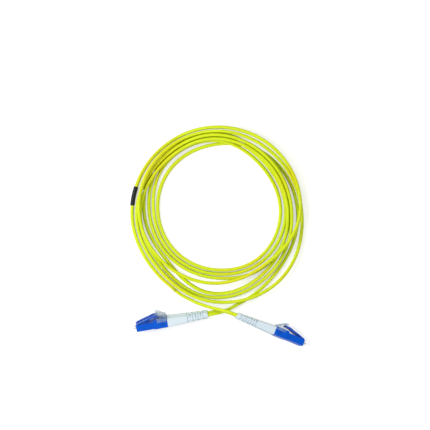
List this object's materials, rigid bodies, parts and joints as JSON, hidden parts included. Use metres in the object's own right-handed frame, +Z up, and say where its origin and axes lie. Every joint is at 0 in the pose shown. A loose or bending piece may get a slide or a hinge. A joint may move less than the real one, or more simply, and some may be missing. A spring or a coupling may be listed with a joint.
{
  "type": "fiber optic patch cord",
  "caption": "Duplex fiber optic patch cord: a coiled flat twin cord with a latching small form factor duplex plug on each end.",
  "frame": {"origin": "middle of the box of the two plugs, on the plane that they and the coil lie on", "axes": "+X from the first plug (a) towards the second (b), +Y from the plugs to the coil, +Z up"},
  "size_m": [0.1141, 0.1431, 0.0175],
  "materials": {
    "plug_blue": "satin moulded blue plastic",
    "boot_white": "soft matte white moulding",
    "clip_grey": "translucent grey plastic",
    "cord_yellow": "smooth yellow green jacket",
    "sleeve_black": "black shrink sleeve",
    "ceramic_white": "polished white ceramic",
    "plated_metal": "nickel plated, turned",
    "crimp_metal": "crimped metal",
    "spring_steel": "drawn spring wire",
    "buffer_white": "buffer coating"
  },
  "bodies": {
    "root": {"housing_a1": "plug_blue", "housing_a2": "plug_blue", "housing_b1": "plug_blue", "housing_b2": "plug_blue", "spring_a1": "spring_steel", "spring_a2": "spring_steel", "spring_b1": "spring_steel", "spring_b2": "spring_steel", "rear_body_a1": "plated_metal", "rear_body_a2": "plated_metal", "rear_body_b1": "plated_metal", "rear_body_b2": "plated_metal", "crimp_ring_a1": "crimp_metal", "crimp_ring_a2": "crimp_metal", "crimp_ring_b1": "crimp_metal", "crimp_ring_b2": "crimp_metal", "buffer_fiber_a1": "buffer_white", "buffer_fiber_a2": "buffer_white", "buffer_fiber_b1": "buffer_white", "buffer_fiber_b2": "buffer_white", "boot_a1": "boot_white", "boot_a2": "boot_white", "boot_b1": "boot_white", "boot_b2": "boot_white", "clip_a": "clip_grey", "clip_b": "clip_grey", "cord_coil": "cord_yellow", "cord_leg_a1": "cord_yellow", "cord_leg_a2": "cord_yellow", "cord_leg_b1": "cord_yellow", "cord_leg_b2": "cord_yellow", "marker_sleeve": "sleeve_black"},
    "trigger_a": {"trigger_a": "clip_grey"},
    "trigger_b": {"trigger_b": "clip_grey"},
    "latch_a1": {"latch_a1": "plug_blue"},
    "latch_a2": {"latch_a2": "plug_blue"},
    "latch_b1": {"latch_b1": "plug_blue"},
    "latch_b2": {"latch_b2": "plug_blue"},
    "ferrule_a1": {"ferrule_a1": "ceramic_white", "ferrule_hub_a1": "plated_metal"},
    "ferrule_a2": {"ferrule_a2": "ceramic_white", "ferrule_hub_a2": "plated_metal"},
    "ferrule_b1": {"ferrule_b1": "ceramic_white", "ferrule_hub_b1": "plated_metal"},
    "ferrule_b2": {"ferrule_b2": "ceramic_white", "ferrule_hub_b2": "plated_metal"}
  },
  "joints": [
    {"name": "trigger_a_press", "type": "hinge", "parent": "root", "child": "trigger_a", "pos_m": [-0.03569, 0.00848, 0.0071], "axis": [0.0387, -0.213, 0.9763], "range_deg": [0, 12.5], "stiffness_Nm_per_rad": 0.17, "springref_deg": -2.86},
    {"name": "trigger_b_press", "type": "hinge", "parent": "root", "child": "trigger_b", "pos_m": [0.03761, 0.00193, 0.00787], "axis": [-0.1826, -0.0552, -0.9816], "range_deg": [0, 12.5], "stiffness_Nm_per_rad": 0.17, "springref_deg": -2.86},
    {"name": "latch_a1_bend", "type": "hinge", "parent": "root", "child": "latch_a1", "pos_m": [-0.05282, 0.00265, 0.00971], "axis": [-0.0387, 0.213, -0.9763], "range_deg": [0, 7.3], "stiffness_Nm_per_rad": 0.05, "springref_deg": -2.86},
    {"name": "latch_a2_bend", "type": "hinge", "parent": "root", "child": "latch_a2", "pos_m": [-0.05307, 0.00398, 0.00361], "axis": [-0.0387, 0.213, -0.9763], "range_deg": [0, 7.3], "stiffness_Nm_per_rad": 0.05, "springref_deg": -2.86},
    {"name": "latch_b1_bend", "type": "hinge", "parent": "root", "child": "latch_b1", "pos_m": [0.05373, -0.00667, 0.00854], "axis": [0.1826, 0.0552, 0.9816], "range_deg": [0, 7.3], "stiffness_Nm_per_rad": 0.05, "springref_deg": -2.86},
    {"name": "latch_b2_bend", "type": "hinge", "parent": "root", "child": "latch_b2", "pos_m": [0.05259, -0.00702, 0.00241], "axis": [0.1826, 0.0552, 0.9816], "range_deg": [0, 7.3], "stiffness_Nm_per_rad": 0.05, "springref_deg": -2.86},
    {"name": "ferrule_a1_float", "type": "slide", "parent": "root", "child": "ferrule_a1", "axis": [-0.9839, -0.1788, 0], "range_m": [-0.001, 0], "stiffness_N_per_m": 1000, "springref_m": 0.004, "deforming": ["spring_a1"]},
    {"name": "ferrule_a2_float", "type": "slide", "parent": "root", "child": "ferrule_a2", "axis": [-0.9839, -0.1788, 0], "range_m": [-0.001, 0], "stiffness_N_per_m": 1000, "springref_m": 0.004, "deforming": ["spring_a2"]},
    {"name": "ferrule_b1_float", "type": "slide", "parent": "root", "child": "ferrule_b1", "axis": [0.9111, -0.3848, -0.1478], "range_m": [-0.001, 0], "stiffness_N_per_m": 1000, "springref_m": 0.004, "deforming": ["spring_b1"]},
    {"name": "ferrule_b2_float", "type": "slide", "parent": "root", "child": "ferrule_b2", "axis": [0.9111, -0.3848, -0.1478], "range_m": [-0.001, 0], "stiffness_N_per_m": 1000, "springref_m": 0.004, "deforming": ["spring_b2"]}
  ],
  "couplings": [
    {"joint": "latch_a1_bend", "follows": "trigger_a_press", "ratio": 0.58},
    {"joint": "latch_a2_bend", "follows": "trigger_a_press", "ratio": 0.58},
    {"joint": "latch_b1_bend", "follows": "trigger_b_press", "ratio": 0.58},
    {"joint": "latch_b2_bend", "follows": "trigger_b_press", "ratio": 0.58}
  ]
}
